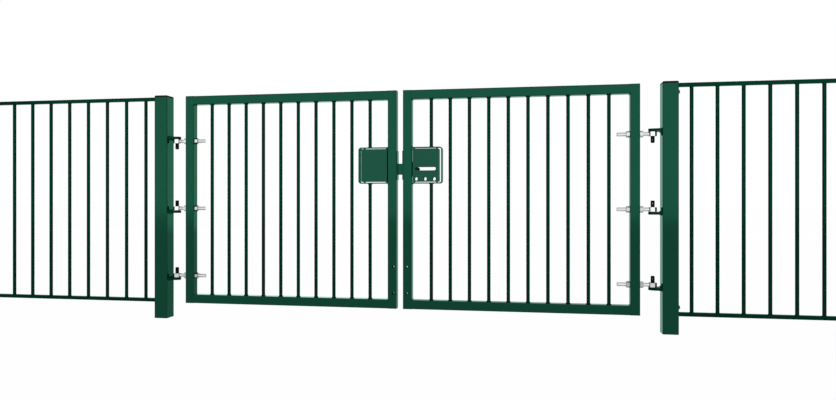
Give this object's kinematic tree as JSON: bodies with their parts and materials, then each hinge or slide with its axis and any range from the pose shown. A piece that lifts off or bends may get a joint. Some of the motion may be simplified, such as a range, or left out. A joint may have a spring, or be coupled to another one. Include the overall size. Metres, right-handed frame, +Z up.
{
  "type": "double swing gate with side railings",
  "caption": "Double swing gate with round bars in square-tube leaves, adjustable eye-bolt hinges, a sliding latch, square capped posts and a railing bay on each side.",
  "frame": {"origin": "middle of the left gate post's foot, on the ground line", "axes": "+X along the gate from the left gate post to the right one, +Y from the front to the back through the gate, +Z up"},
  "size_m": [8.1272, 0.08, 1.297],
  "materials": {
    "green_coat": "glossy moss green powder coat",
    "dark_steel": "satin, near black green",
    "zinc_steel": "bright zinc plate",
    "black_plastic": "dark grey plastic, slightly rough"
  },
  "bodies": {
    "posts": {"left_gate_post": "green_coat", "right_gate_post": "green_coat", "left_end_post": "green_coat", "right_end_post": "green_coat", "post_caps": "black_plastic", "left_railing": "green_coat", "right_railing": "green_coat", "railing_fixings": "green_coat", "left_hinge_brackets": "green_coat", "right_hinge_brackets": "green_coat", "left_hinge_pins": "dark_steel", "right_hinge_pins": "dark_steel"},
    "left_leaf": {"left_hinge_stile": "green_coat", "left_meeting_stile": "green_coat", "left_leaf_rails": "green_coat", "left_leaf_bars": "green_coat", "left_eye_bolts": "zinc_steel", "left_hinge_nuts": "zinc_steel", "left_strike_plate": "green_coat", "left_case_band": "green_coat", "left_case_front": "green_coat", "left_case_back": "green_coat", "left_lock_guard": "green_coat"},
    "right_leaf": {"right_hinge_stile": "green_coat", "right_meeting_stile": "green_coat", "right_leaf_rails": "green_coat", "right_leaf_bars": "green_coat", "right_eye_bolts": "zinc_steel", "right_hinge_nuts": "zinc_steel", "right_strike_plate": "green_coat", "right_case_band": "green_coat", "right_case_front": "green_coat", "right_case_back": "green_coat", "right_lock_guard": "green_coat", "right_bolt_guides": "dark_steel"},
    "slide_bolt": {"slide_bolt": "green_coat", "bolt_knob": "dark_steel"}
  },
  "joints": [
    {"name": "left_leaf_hinge", "type": "hinge", "parent": "posts", "child": "left_leaf", "pos_m": [0.0825, 0, 0.248], "axis": [0, 0, 1], "range_deg": [-90, 90]},
    {"name": "right_leaf_hinge", "type": "hinge", "parent": "posts", "child": "right_leaf", "pos_m": [2.7475, 0, 0.248], "axis": [0, 0, 1], "range_deg": [-90, 90]},
    {"name": "latch_slide", "type": "slide", "parent": "right_leaf", "child": "slide_bolt", "axis": [1, 0, 0], "range_m": [0, 0.092]}
  ]
}
